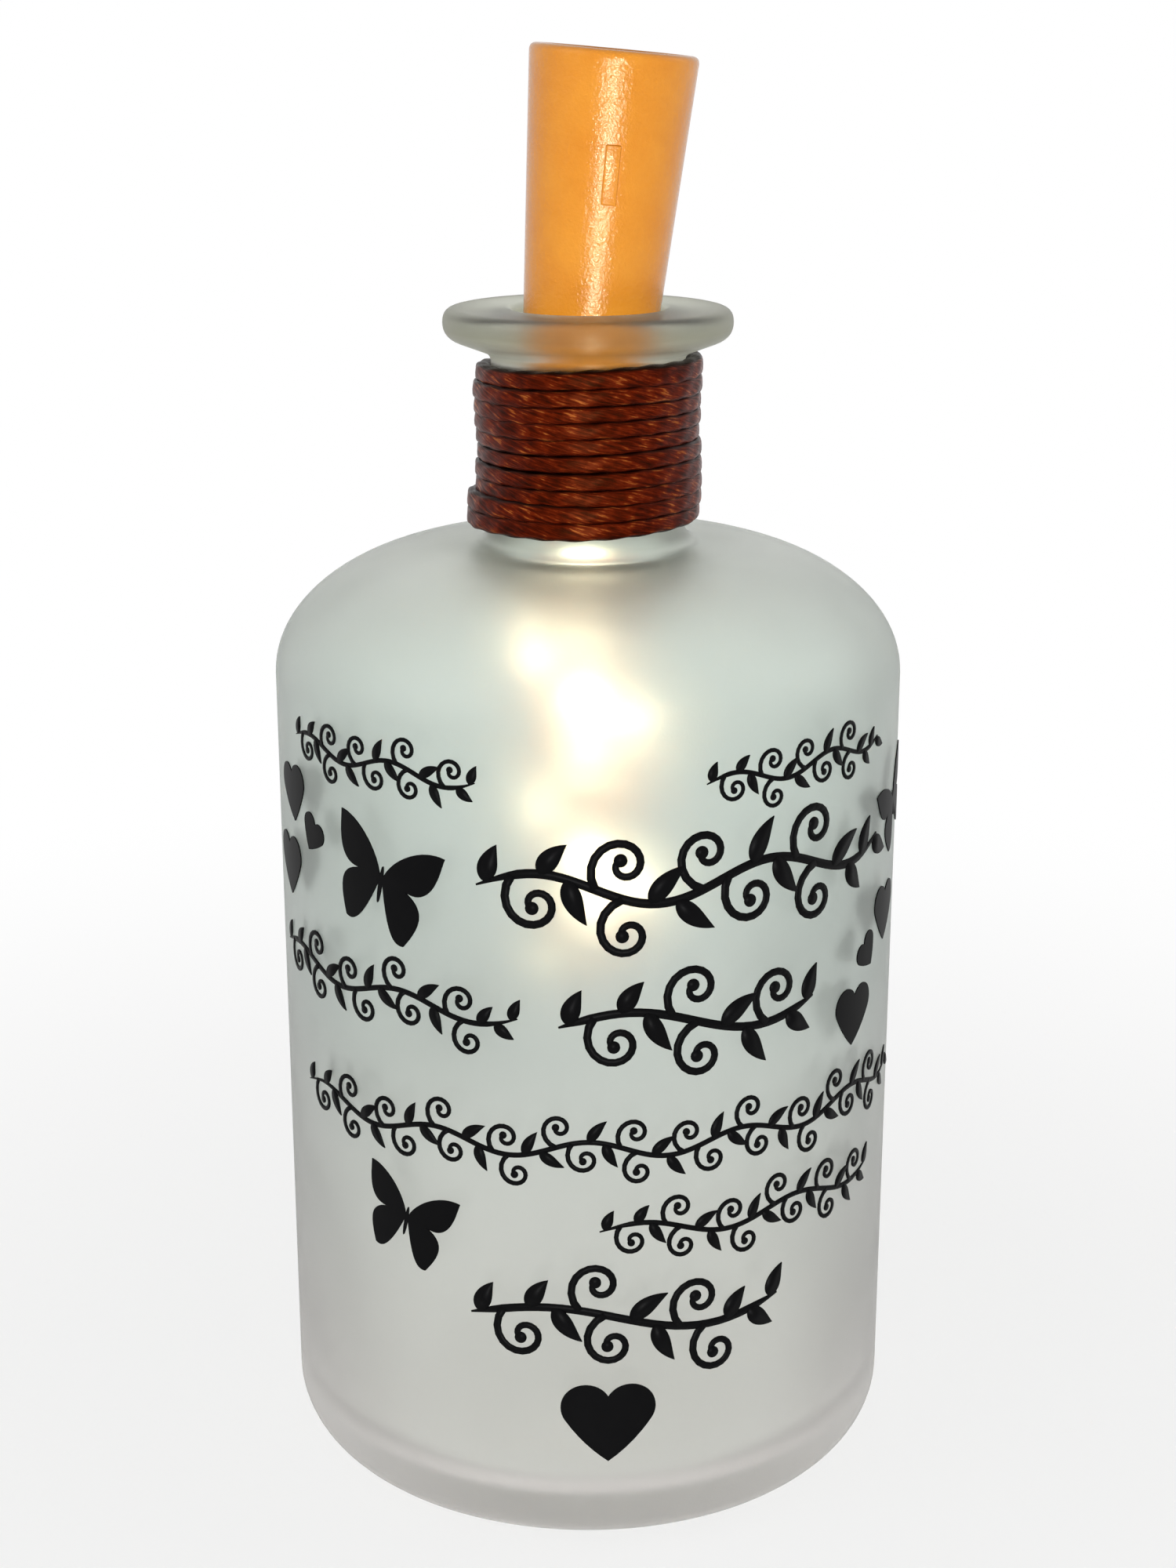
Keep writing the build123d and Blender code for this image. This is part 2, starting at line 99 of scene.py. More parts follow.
# %% Helpers for lines
curve_order, points_between = 3, 4


def line_points(name, route):
    """Lay a smooth line along a route's points, in metres, and give the line's points."""
    curve = bpy.data.curves.new(name, "CURVE")
    curve.dimensions = "3D"
    spline = curve.splines.new("NURBS")
    spline.points.add(len(route) - 1)
    for point, place in zip(spline.points, route):
        point.co = (*place, 1)
    spline.order_u = curve_order
    spline.use_endpoint_u = True
    curve.resolution_u = points_between
    line = into_scene(name, curve)
    bpy.context.view_layer.update()
    mesh = bpy.data.meshes.new_from_object(line)
    points = [vertex.co.copy() for vertex in mesh.vertices]
    bpy.data.objects.remove(line)
    bpy.data.meshes.remove(mesh)
    return points


def length_of(line):
    """Length of a line."""
    return sum((b - a).length for a, b in zip(line, line[1:]))


def frames_along(points, outward):
    """Each point of a line, a direction across it that stays close to outward, and the other one."""
    made = []
    for index, point in enumerate(points):
        way = points[min(index + 1, len(points) - 1)] - points[max(index - 1, 0)]
        across = outward - way * (outward.dot(way) / way.length_squared)
        across.normalize()
        made.append((point, across, way.cross(across).normalized()))
    return made


print("order of smooth lines:", curve_order)

# %% [markdown]
# ## Helpers for strands
# A wire could be a curve with a bevel. Here it is a ring of points that is carried along a line, because
# that also gives the mesh a map along and around the strand, which the pattern of a twisted cord follows.

# %% Helpers for strands
strand_smoothing = radians(50)


def ring_at(station, radius, sides):
    """A round ring of points at one station of a line."""
    point, across, beside = station
    turns = [2 * pi * side / sides for side in range(sides)]
    return [point + (across * cos(turn) + beside * sin(turn)) * radius for turn in turns]


def strand_faces(rings, sides, first):
    """Faces of a strand whose points are numbered from first, and each corner's place along and around."""
    length = [0.0]
    for a, b in zip(rings, rings[1:]):
        length.append(length[-1] + (b[0] - a[0]).length)
    faces, charts = [], []
    for row in range(len(rings) - 1):
        along, next_along = length[row] / MM, length[row + 1] / MM
        for side in range(sides):
            low, next_low = first + row * sides + side, first + row * sides + (side + 1) % sides
            around, next_around = side / sides, (side + 1) / sides
            faces.append((low, next_low, next_low + sides, low + sides))
            charts.append([(along, around), (along, next_around),
                           (next_along, next_around), (next_along, around)])
    last = first + (len(rings) - 1) * sides
    faces += [tuple(range(first + sides - 1, first - 1, -1)), tuple(range(last, last + sides))]
    charts += [[(0, 0)] * sides, [(length[-1] / MM, 0)] * sides]
    return faces, charts


def face_outwards():
    """Turn all faces of the active piece outwards."""
    bpy.ops.object.mode_set(mode="EDIT")
    bpy.ops.mesh.select_all(action="SELECT")
    bpy.ops.mesh.normals_make_consistent(inside=False)
    bpy.ops.object.mode_set(mode="OBJECT")


def skin(name, strands, sides):
    """Join strands, each a list of rings of so many points, into one mesh that is closed at their ends."""
    places, faces, charts = [], [], []
    for rings in strands:
        more_faces, more_charts = strand_faces(rings, sides, len(places))
        faces += more_faces
        charts += more_charts
        for ring in rings:
            places.extend(ring)
    mesh = bpy.data.meshes.new(name)
    mesh.from_pydata(places, [], faces)
    chart = mesh.uv_layers.new(name="along_and_around")
    for face, corners in zip(mesh.polygons, charts):
        for loop, spot in zip(face.loop_indices, corners):
            chart.data[loop].uv = spot
    mesh.validate()
    piece = into_scene(name, mesh)
    face_outwards()
    bpy.ops.object.shade_smooth_by_angle(angle=strand_smoothing)
    return piece


def triangles(piece):
    """How many triangles a piece has."""
    return sum(len(face.vertices) - 2 for face in piece.data.polygons)


print("strand smoothing, degrees:", round(strand_smoothing * 180 / pi))

# %% [markdown]
# ## Line of the light string
# The string leaves the glue in the cork's foot straight, swings out and hangs in uneven loops. It could be
# drawn by hand, but the frame's own wire follows a rule, so its line follows the same one, with sixteen
# points to a turn. A smooth line cuts its corners, so the points lie further out by as much.

# %% Line of the light string
cork_lean, cork_offset, cork_inserted = radians(5.1), 0.5, 18.5
cork_up = Vector((sin(cork_lean), 0, cos(cork_lean)))
cork_right = Vector((cos(cork_lean), 0, -sin(cork_lean)))
cork_foot = Vector((cork_offset, 0, bottle_corner.z)) - cork_up * cork_inserted
straight_levels, swing_out = (-0.2, -2.0, -4.0, -7.0), Vector((-5.0, 1.5, 122.5))
coil_top, coil_foot, coil_radius, coil_waver, coil_drift = 119.5, 66.0, 6.5, 0.35, 0.7
lamp_count, lamp_first, lamp_steps, steps_per_turn, points_per_step = 10, 3, 9, 4, 4
own_share, neighbours_share = 0.75, 0.25

coil_steps = lamp_first + (lamp_count - 1) * lamp_steps + 1
corner_cut = own_share + neighbours_share * cos(2 * pi / (steps_per_turn * points_per_step))
route = [cork_foot + cork_up * height for height in straight_levels]
route.append(swing_out)
for count in range(coil_steps * points_per_step + 1):
    step = count / points_per_step
    turn = pi + 2 * pi * step / steps_per_turn
    radius = (coil_radius + coil_waver * sin(step)) / corner_cut
    sideways = coil_drift * (2 * step / coil_steps - 1)
    height = coil_top - (coil_top - coil_foot) * step / coil_steps
    route.append(Vector((sideways + radius * cos(turn), radius * sin(turn), height)))
string_line = line_points("string_line", [point * MM for point in route])

# %% [markdown]
# ## Light string
# The string is a pair of thin enamelled copper wires twisted together. One round wire would do from afar,
# but the twist is what such a string is known by, so two strands run round the line.

# %% Light string
wire_radius, twist_pitch, wire_sides = 0.15 * MM, 3.4 * MM, 6
string_outward = Vector((0.02, 0.01, 1))


def twisted_pair(name, line, outward):
    """Two wires that are twisted round each other along a line."""
    run, strands = 0.0, [[], []]
    for index, (point, across, beside) in enumerate(frames_along(line, outward)):
        run += (point - line[index - 1]).length if index else 0.0
        for number, strand in enumerate(strands):
            turn = 2 * pi * run / twist_pitch + pi * number
            off = (across * cos(turn) + beside * sin(turn)) * wire_radius
            strand.append(ring_at((point + off, across, beside), wire_radius, wire_sides))
    return skin(name, strands, wire_sides)


light_wire = twisted_pair("light_wire", string_line, string_outward)
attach(light_wire, "cork")
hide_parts("light_string")
print("light string triangles:", triangles(light_wire))

# %% [markdown]
# ## Helpers for turned pieces
# A turned piece, such as a bottle, could be stacked from cylinders. A half section that is spun keeps every
# radius in view, so it is drawn as by hand: one point is extruded along the outline, and the chain is spun.

# %% Helpers for turned pieces
weld_gap, turned_smoothing = 0.003 * MM, radians(35)


def arc(centre, radii, start, end, count):
    """Points of an arc of an ellipse, in degrees, without its first point."""
    turns = [radians(start + (end - start) * step / count) for step in range(1, count + 1)]
    return [(centre[0] + radii[0] * cos(turn), centre[1] + radii[1] * sin(turn)) for turn in turns]


def rounded(line, radii, count):
    """Points that round the inner corners of an outline, each by its own radius."""
    points = []
    for before, point, after, radius in zip(line, line[1:], line[2:], radii):
        a, b, c = Vector(before), Vector(point), Vector(after)
        along, away = (a - b).normalized(), (c - b).normalized()
        reach = radius * sqrt((1 + along.dot(away)) / (1 - along.dot(away)))
        start, end = b + along * reach, b + away * reach
        for step in range(count + 1):
            share = step / count
            points.append(tuple(start * (1 - share) ** 2 + b * 2 * share * (1 - share) + end * share**2))
    return points


def spin(name, outline, steps):
    """Draw a half section in millimetres point by point and spin it round the Z axis."""
    bpy.ops.mesh.primitive_plane_add(size=MM)
    piece = bpy.context.object
    piece.name = name
    bpy.ops.object.mode_set(mode="EDIT")
    bpy.ops.mesh.merge(type="CENTER")
    bpy.ops.transform.translate(value=(outline[0][0] * MM, 0, outline[0][1] * MM))
    for (x0, z0), (x1, z1) in zip(outline, outline[1:]):
        move = {"value": ((x1 - x0) * MM, 0, (z1 - z0) * MM)}
        bpy.ops.mesh.extrude_vertices_move(TRANSFORM_OT_translate=move)
    bpy.ops.mesh.select_all(action="SELECT")
    bpy.ops.mesh.spin(steps=steps, angle=2 * pi, center=(0, 0, 0), axis=(0, 0, 1))
    bpy.ops.mesh.select_all(action="SELECT")
    bpy.ops.mesh.remove_doubles(threshold=weld_gap)
    bpy.ops.mesh.normals_make_consistent(inside=False)
    bpy.ops.object.mode_set(mode="OBJECT")
    bpy.ops.object.shade_smooth_by_angle(angle=turned_smoothing)
    return piece


print("points are welded within, mm:", weld_gap / MM)

# %% [markdown]
# ## Section of the bottle
# A pressed bottle is thick at its heel, its pushed-up base and its lip. Its section could be traced point by
# point, but arcs and rounded corners take the frame's own sizes in millimetres. Outside and inside are two
# outlines.

# %% Section of the bottle
body_radius, bottle_height = bottle_corner.x, bottle_corner.z
body_wall, heel_radius, foot_ring, push_up = 3.0, 8.0, 24.0, 3.0
floor_thickness, inner_heel = 6.0, 6.0
shoulder_start, shoulder_rise = 108.4, 16.7
neck_radius, neck_fillet, bore_radius, inner_fillet = 12.41, 2.5, 9.51, 4.0
lip_radius, lip_band, lip_slope = 18.51, 3.5, 2.3
lip_edges, edge_steps = (1.6, 2.4, 1.8, 1.2), 8
base_steps, heel_steps, wall_rows, shoulder_steps, fillet_steps = 10, 14, 24, 28, 6
inner_shoulder_steps, inner_heel_steps = 24, 10

shoulder_top = shoulder_start + shoulder_rise
neck_top = bottle_height - lip_band - lip_slope
neck_curve, bore_curve = neck_radius + neck_fillet, bore_radius + inner_fillet
inner_radius = body_radius - body_wall
inner_top = shoulder_top - body_wall
dish_edge = inner_radius - inner_heel


def dome(edge):
    """Radius and spread in degrees of a sphere that rises inside an edge."""
    sphere = (edge**2 + push_up**2) / (2 * push_up)
    return sphere, 90 - atan2(sqrt(sphere**2 - edge**2), edge) * 180 / pi


base_sphere, base_spread = dome(foot_ring)
dish_sphere, dish_spread = dome(dish_edge)
outside = [(0, push_up)]
outside += arc((0, push_up - base_sphere), (base_sphere, base_sphere), 90, 90 - base_spread, base_steps)
outside += [(body_radius - heel_radius, 0)]
outside += arc((body_radius - heel_radius, heel_radius), (heel_radius, heel_radius), -90, 0, heel_steps)
for row in range(1, wall_rows + 1):
    outside.append((body_radius, heel_radius + (shoulder_start - heel_radius) * row / wall_rows))
outside += arc((neck_curve, shoulder_start), (body_radius - neck_radius - neck_fillet, shoulder_rise), 0, 90,
               shoulder_steps)
outside += arc((neck_curve, shoulder_top + neck_fillet), (neck_fillet, neck_fillet), 270, 180, fillet_steps)
lip_line = [
    (neck_radius, shoulder_top + neck_fillet), (neck_radius, neck_top), (lip_radius, neck_top + lip_slope),
    (lip_radius, bottle_height), (bore_radius, bottle_height), (bore_radius, inner_top + inner_fillet)]
outside += rounded(lip_line, lip_edges, edge_steps)
inside = [(bore_radius, inner_top + inner_fillet)]
inside += arc((bore_curve, inner_top + inner_fillet), (inner_fillet, inner_fillet), 180, 270, fillet_steps)
inside += arc((bore_curve, shoulder_start),
              (inner_radius - bore_radius - inner_fillet, inner_top - shoulder_start),
              90, 0, inner_shoulder_steps)
inside += [(inner_radius, floor_thickness + inner_heel)]
inside += arc((dish_edge, floor_thickness + inner_heel), (inner_heel, inner_heel), 0, -90, inner_heel_steps)
inside += arc((0, floor_thickness + push_up - dish_sphere), (dish_sphere, dish_sphere), 90 - dish_spread, 90,
              base_steps)
print("points outside and inside:", len(outside), len(inside))

# %% [markdown]
# ## Bottle
# The bottle is pressed soda-lime glass. It could stay the frame's own mesh, but light that passes through
# glass shows each facet, so the same section is spun here in fine steps.

# %% Bottle
bottle_facets = 160
bottle = spin("frosted_bottle", outside + inside, bottle_facets)
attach(bottle, "bottle")
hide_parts("glass_bottle")
print("bottle triangles:", triangles(bottle))

# %% [markdown]
# ## Helpers for materials
# Colours are picked as sRGB hex values and turned to linear light by one function. Nodes could be added by
# hand, but one function that takes a node's settings and links lets each material read as a list of what it
# is made of.

# %% Helpers for materials
def linear(hex_colour):
    """Linear RGBA of an sRGB hex colour."""
    shares = [int(hex_colour[place:place + 2], 16) / 255 for place in (1, 3, 5)]
    return (*[share / 12.92 if share <= 0.04045 else ((share + 0.055) / 1.055) ** 2.4 for share in shares], 1)


def link_to(tree, made, name, source):
    """Link one input of a node to a socket, or to a node's first output."""
    tree.links.new(source.outputs[0] if isinstance(source, bpy.types.Node) else source, made.inputs[name])


def add_node(tree, kind, sockets=None, links=None, **properties):
    """Add one shader node, set its properties and sockets, and link its inputs."""
    made = tree.nodes.new("ShaderNode" + kind)
    for name, value in properties.items():
        setattr(made, name, value)
    for name, value in (sockets or {}).items():
        made.inputs[name].default_value = value
    for name, source in (links or {}).items():
        link_to(tree, made, name, source)
    return made


def new_material(name, **sockets):
    """A material of one Principled shader, its sockets given with _ for each space, and its coordinates."""
    material = bpy.data.materials.new(name)
    material.use_nodes = True
    tree = material.node_tree
    tree.nodes.clear()
    values = {socket.replace("_", " "): value for socket, value in sockets.items()}
    shader = add_node(tree, "BsdfPrincipled", values)
    add_node(tree, "OutputMaterial", links={"Surface": shader})
    return material, tree, shader, add_node(tree, "TexCoord").outputs["Object"]


def plug(tree, shader, **sources):
    """Link sources to the shader's sockets, which are given with _ for each space."""
    for socket, source in sources.items():
        link_to(tree, shader, socket.replace("_", " "), source)


def set_stops(ramp, stops):
    """Give a new colour ramp its stops, each a share of the way and a hex colour."""
    for element, (share, colour) in zip(ramp.elements[:], (stops[0], stops[-1])):
        element.position, element.color = share, linear(colour)
    for share, colour in stops[1:-1]:
        ramp.elements.new(share).color = linear(colour)


def dress(piece, *materials):
    """Give a piece its materials in place of any it has."""
    piece.data.materials.clear()
    for material in materials:
        piece.data.materials.append(material)


print("#808080 in linear light:", round(linear("#808080")[0], 3))

# %% [markdown]
# ## Etched glass
# Acid etching leaves a skin of tiny pits. Light still passes, but each ray leaves at its own angle, so what
# is behind the glass turns to soft patches. A translucent shader would lose them, so it is a rough
# transmission, with a fine grain, drawn coarser than life so that it shows, and faint clouds in its
# roughness. The pale grey green follows the height, with painted light and shade in it. Painted light
# makes it lighter and warmer towards the base and lighter just below the cord. Painted shade makes it darker
# at the foot of the neck, under the cord, and a painted highlight lightens the underside of the lip. The
# solid lip is darker, partly for its thickness and partly as painted shade.

# %% Etched glass
etch_grit, cloud_size, glass_ior = 0.35 * MM, 17 * MM, 1.5
noise_span = {"From Min": 0.3, "From Max": 0.7}
# Painted light and shade by height: lighter at the base and just below the cord, darker at the neck's foot, a
# painted highlight under the lip, and the lip darker partly as painted shade
tint_and_painted_light_levels = (
    (0, "#ECE7E3"), (50, "#E2E5E0"), (70, "#D5DDD8"), (108, "#DAE3DD"), (119, "#E4EAE3"), (124.6, "#EEF2EB"),
    (126, "#B6BBB0"), (147.5, "#F2F1E8"), (149.5, "#E6E6DA"), (152.5, "#A6A78F"), (bottle_height, "#BDC0B0"))
etched_glass, tree, shader, place = new_material("etched_soda_glass", Transmission_Weight=1.0, IOR=glass_ior)
grit = add_node(tree, "TexNoise", {"Scale": 1 / etch_grit, "Detail": 2.0}, {"Vector": place})
clouds = add_node(tree, "TexNoise", {"Scale": 1 / cloud_size, "Detail": 2.0}, {"Vector": place})
rough = add_node(tree, "MapRange", {**noise_span, "To Min": 0.42, "To Max": 0.50}, {"Value": clouds})
height = add_node(tree, "SeparateXYZ", links={"Vector": place}).outputs["Z"]
rise = add_node(tree, "MapRange", {"From Max": bottle_height * MM}, {"Value": height})
tint_and_painted_light = add_node(tree, "ValToRGB", links={"Fac": rise})
set_stops(tint_and_painted_light.color_ramp, [(level / bottle_height, colour) for level, colour in tint_and_painted_light_levels])
pits = add_node(tree, "Bump", {"Strength": 0.25, "Distance": 0.04 * MM}, {"Height": grit})
plug(tree, shader, Base_Color=tint_and_painted_light, Roughness=rough, Normal=pits)
print("steps in the tint:", len(tint_and_painted_light.color_ramp.elements))

# %% [markdown]
# ## Clear inside
# The acid only reaches the outside. Inside, the glass is clear, with the slow waves of pressed glass. It
# could be a second object, but one closed wall bends light as real glass does, so the faces of the one mesh
# are sorted by the nearest stretch of the outline.

# %% Clear inside
clear_glass, tree, shader, place = new_material("clear_soda_glass", Transmission_Weight=1.0, IOR=glass_ior,
                                                Roughness=0.08, Base_Color=linear("#F4F8F5"))
waves = add_node(tree, "TexNoise", {"Scale": 1 / cloud_size, "Detail": 1.0}, {"Vector": place})
sway = add_node(tree, "Bump", {"Strength": 0.15, "Distance": 0.2 * MM}, {"Height": waves})
plug(tree, shader, Normal=sway)

dress(bottle, etched_glass, clear_glass)
wall = outside + inside
middles = [((x0 + x1) / 2, (z0 + z1) / 2) for (x0, z0), (x1, z1) in zip(wall, wall[1:])]
side_at = {}
for face in bottle.data.polygons:
    spot = (round(hypot(face.center.x, face.center.y) / MM, 2), round(face.center.z / MM, 2))
    if spot not in side_at:
        nearest = min(range(len(middles)), key=lambda index: dist(middles[index], spot))
        side_at[spot] = int(nearest >= len(outside) - 1)
    face.material_index = side_at[spot]
print("clear faces:", sum(face.material_index for face in bottle.data.polygons))

# %% [markdown]
# ## Cord round the neck
# A waxed cord is wound ten times round the neck, under the lip. Its turns lie against each other, pull flat
# under tension, wander a little and bulge at one side near the foot. Ten rings would be simpler, but the
# cord climbs, so it is one strand: rings of points go up a helix, flattened, with three lobes that turn as
# the plies of a cord do. Waves are given as size, rate in radians for each turn, and start.

# %% Cord round the neck
cord_turns, rings_per_turn, cord_sides = 10, 120, 24
cord_low, cord_high, cord_gap = 127.8, 148.3, 0.08
cord_half_thick, cord_half_wide, cord_squareness = 1.0, 1.2, 0.66
wander_waves, end_fade = ((0.12, 1.3, 1.0), (0.2, 6.1, 0.0), (0.12, 19.0, 2.0)), 0.5
mean_swell, swell_waves, stray_waves = 1.02, ((0.06, 5.3, 0.6), (0.05, 13.7, 1.7)), ((0.10, 3.7, 2.2),)
plies, lays_per_turn, ply_height, flat_height, flat_rate = 3, 7, 0.05, 0.02, 31
bulge_turns, bulge_reach, bulge_spread = (0.25, 1.25), 0.9, 0.12
first_turn_out, first_turn_fade = 0.4, 0.8
end_dome, end_tip = 0.03, 0.05


def flatten(share):
    """Square a round section up a little, as a cord does under tension."""
    return abs(share) ** cord_squareness * (1 if share > 0 else -1)


def waves_at(waves, turn):
    """Sum of waves at so many turns along the cord."""
    return sum(size * sin(rate * turn + start) for size, rate, start in waves)


def cord_ring(turn):
    """Points of the cord's section at so many turns."""
    angle = 2 * pi * turn + pi / 2
    outward = Vector((cos(angle), sin(angle), 0))
    near_end = min(1.0, exp(-turn / end_fade) + exp((turn - cord_turns) / end_fade))
    swell = mean_swell + waves_at(swell_waves, turn)
    bulge = sum(bulge_reach * exp(-((turn - middle) / bulge_spread) ** 2) for middle in bulge_turns)
    reach = neck_radius + cord_gap + cord_half_thick * swell + waves_at(stray_waves, turn) + bulge
    reach += first_turn_out * exp(-turn / first_turn_fade)
    level = cord_low + (cord_high - cord_low) * turn / cord_turns
    level += waves_at(wander_waves, turn) * (1 - near_end)
    rounding = min(1.0, sqrt(min(turn, cord_turns - turn) / end_dome) + end_tip)
    ring = []
    for side in range(cord_sides):
        around = 2 * pi * side / cord_sides + pi
        ply = 1 + ply_height * sin(plies * (around - 2 * pi * lays_per_turn * turn))
        ply += flat_height * sin(2 * around - flat_rate * turn)
        spot = outward * (reach + cord_half_thick * swell * rounding * ply * flatten(cos(around)))
        spot.z = level + cord_half_wide * swell * rounding * ply * flatten(sin(around))
        ring.append(spot * MM)
    return ring


cord_rings = [cord_ring(count / rings_per_turn) for count in range(cord_turns * rings_per_turn + 1)]
winding = skin("cord_winding", [cord_rings], cord_sides)
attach(winding, "bottle")
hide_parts("neck_cord")
print("cord triangles:", triangles(winding))

# %% [markdown]
# ## Waxed cord
# The cord is cotton yarn soaked in red-brown wax, which leaves a dull gloss, and the yarn shows as fine
# creases that slant across each turn. On plain coordinates they would run straight through the turns, so
# they follow the strand's own map, turned by the angle of the twist. The colour is darker in the creases
# and lighter on the high yarns, where its lightest stop is a painted sheen. The grooves between turns are
# painted shade, near black.

# %% Waxed cord
cord_girth, crease_angle, crease_length, crease_width = 7.0, radians(13), 2.6, 0.24
smear_size, smear_share = 2.2, 0.55
# The wax's red-brown runs darker in the creases. Its lightest stop, on the high yarns, is a painted sheen
wax_colours_and_painted_sheen = ((0.55, "#180200"), (0.72, "#3C0901"), (0.88, "#5E1A06"), (1.0, "#9C5624"))
waxed_cord, tree, shader, place = new_material("waxed_cotton_cord", Specular_IOR_Level=0.15,
                                               Specular_Tint=linear("#FF9258"))
chart = add_node(tree, "UVMap", uv_map="along_and_around").outputs["UV"]
unrolled = add_node(tree, "Mapping", {"Scale": (1.0, cord_girth, 1.0), "Rotation": (0, 0, crease_angle)},
                    {"Vector": chart})
lay = add_node(tree, "Mapping", {"Scale": (1 / crease_length, 1 / crease_width, 1.0)}, {"Vector": unrolled})
creases = add_node(tree, "TexNoise", {"Scale": 1.0, "Detail": 3.0, "Roughness": 0.6}, {"Vector": lay})
smears = add_node(tree, "TexNoise", {"Scale": 1 / (smear_size * MM), "Detail": 3.0}, {"Vector": place})
tone = add_node(tree, "Math", {1: smear_share}, {0: smears, 2: creases}, operation="MULTIPLY_ADD")
shade = add_node(tree, "ValToRGB", links={"Fac": tone})
set_stops(shade.color_ramp, wax_colours_and_painted_sheen)
# Painted shade: near black towards both edges of each turn, in the grooves between turns
around = add_node(tree, "SeparateXYZ", links={"Vector": chart}).outputs["Y"]
off_middle = add_node(tree, "Math", {1: 0.5}, {0: around}, operation="SUBTRACT")
to_edge = add_node(tree, "Math", links={0: off_middle}, operation="ABSOLUTE")
painted_groove_shade = add_node(tree, "MapRange", {"From Min": 0.07, "From Max": 0.15}, {"Value": to_edge},
                  interpolation_type="SMOOTHSTEP")
with_painted_groove_shade = add_node(tree, "Mix", {"B": linear("#080000")}, {"Factor": painted_groove_shade, "A": shade}, data_type="RGBA")
gloss = add_node(tree, "MapRange", {**noise_span, "To Min": 0.46, "To Max": 0.32}, {"Value": creases})
yarn = add_node(tree, "Bump", {"Strength": 0.8, "Distance": 0.10 * MM}, {"Height": creases})
plug(tree, shader, Base_Color=with_painted_groove_shade.outputs["Result"], Roughness=gloss, Normal=yarn)
dress(winding, waxed_cord)
print("cord dressed with", waxed_cord.name)

# %% [markdown]
# ## Black vinyl
# The motifs are cut from black sign vinyl, 0.15 mm thick: nearly black, with a satin gloss and the faint
# unevenness of a film that was rubbed down by hand. Pure black would look like a hole, so the black wavers a
# little. Many finishes here do, so one function makes them.

# %% Black vinyl
rub_size, dent_depth = 2.5, 0.05


def mottled(name, shades, size, detail=3.0, dents=0.15, **sockets):
    """A material with shallow dents that wavers between two shades over a size in millimetres."""
    material, tree, shader, place = new_material(name, **sockets)
    mottle = add_node(tree, "TexNoise", {"Scale": 1 / (size * MM), "Detail": detail}, {"Vector": place})
    tone = add_node(tree, "Mix", {"A": linear(shades[0]), "B": linear(shades[1])}, {"Factor": mottle},
                    data_type="RGBA").outputs["Result"]
    bump = add_node(tree, "Bump", {"Strength": dents, "Distance": dent_depth * MM}, {"Height": mottle})
    plug(tree, shader, Base_Color=tone, Normal=bump)
    return material, tree, shader, mottle, tone


black_vinyl = mottled("black_sign_vinyl", ("#030304", "#080809"), rub_size, dents=0.1,
                      Roughness=0.45, Specular_IOR_Level=0.05)[0]
for name in ("vinyl_hearts", "vinyl_butterflies"):
    dress(nodes[name], black_vinyl)
print("motifs dressed with", black_vinyl.name)

# %% [markdown]
# ## Vine strokes
# Rows of vine ornament run round the front of the bottle, cut from the same vinyl. They could be a pattern
# in the glass's material, but a film has an edge that shows, so they are drawn. Each stroke is a flat curve
# with a width of its own at each point, on the unrolled glass. Sizes are shares of a row's height.

# %% Vine strokes
film_thickness, film_gap, least_width = 0.15, 0.03, 0.03
stem_lift, tendril_lift, leaf_lift = 0.0, 0.02, 0.04
stroke_steps = 24
steps = [step / stroke_steps for step in range(stroke_steps + 1)]
tendril_reach, tendril_bend, tendril_turn, tendril_tightening = 0.30, 0.35 * pi, 2.55 * pi, 1.75
tendril_width, tendril_thinning, berry_radius = 0.07, 0.015, 0.055
leaf_reach, leaf_width, leaf_rise, leaf_bend, leaf_belly, leaf_fullness = 0.42, 0.165, 0.36, 0.16, 0.7, 0.9


def draw_stroke(curve, points, widths, lift):
    """Add one flat stroke through points in millimetres on the unrolled glass."""
    spline = curve.splines.new("POLY")
    spline.points.add(len(points) - 1)
    for point, place, width in zip(spline.points, points, widths):
        point.co = (place[0] * MM, place[1] * MM, lift * MM, 1)
        point.radius, point.tilt = max(width, least_width) / 2, pi / 2


def heading(angle):
    """One millimetre in a direction on the unrolled glass."""
    return Vector((cos(angle), sin(angle)))


def tendril(curve, foot, lean, side, height):
    """A curl that leaves the stem on one side and ends in a berry."""
    reach, points = tendril_reach * height, []
    heart = foot + heading(lean + side * tendril_bend) * reach
    for step in steps:
        turn = lean + side * (tendril_bend + pi - tendril_turn * step)
        points.append(heart + heading(turn) * reach * exp(-tendril_tightening * step))
    widths = [height * (tendril_width - tendril_thinning * step) for step in steps]
    draw_stroke(curve, points, widths, tendril_lift)
    berry, ends = berry_radius * height, [2 * step - 1 for step in steps]
    draw_stroke(curve, [points[-1] + Vector((berry * end, 0)) for end in ends],
                [2 * berry * sqrt(1 - end * end) for end in ends], leaf_lift)


def leaf(curve, foot, lean, side, height, size):
    """A pointed leaf that leaves the stem on one side and bends along it."""
    reach, points, at = leaf_reach * height * size, [], foot.copy()
    for step in steps:
        points.append(at.copy())
        at += heading(lean + side * (leaf_rise - leaf_bend * step) * pi) * reach / stroke_steps
    widths = [leaf_width * height * sin(pi * step**leaf_belly) ** leaf_fullness for step in steps]
    draw_stroke(curve, points, widths, leaf_lift)


print("points in a leaf:", len(steps))

# %% [markdown]
# ## A row of vine
# A row is a swaying stem with leaves and curled tendrils on alternate sides. A Curve modifier could wrap it,
# but its place would then hang on a second object. So the flat mesh is wrapped round the glass point by
# point, and Solidify gives it the film's thickness.

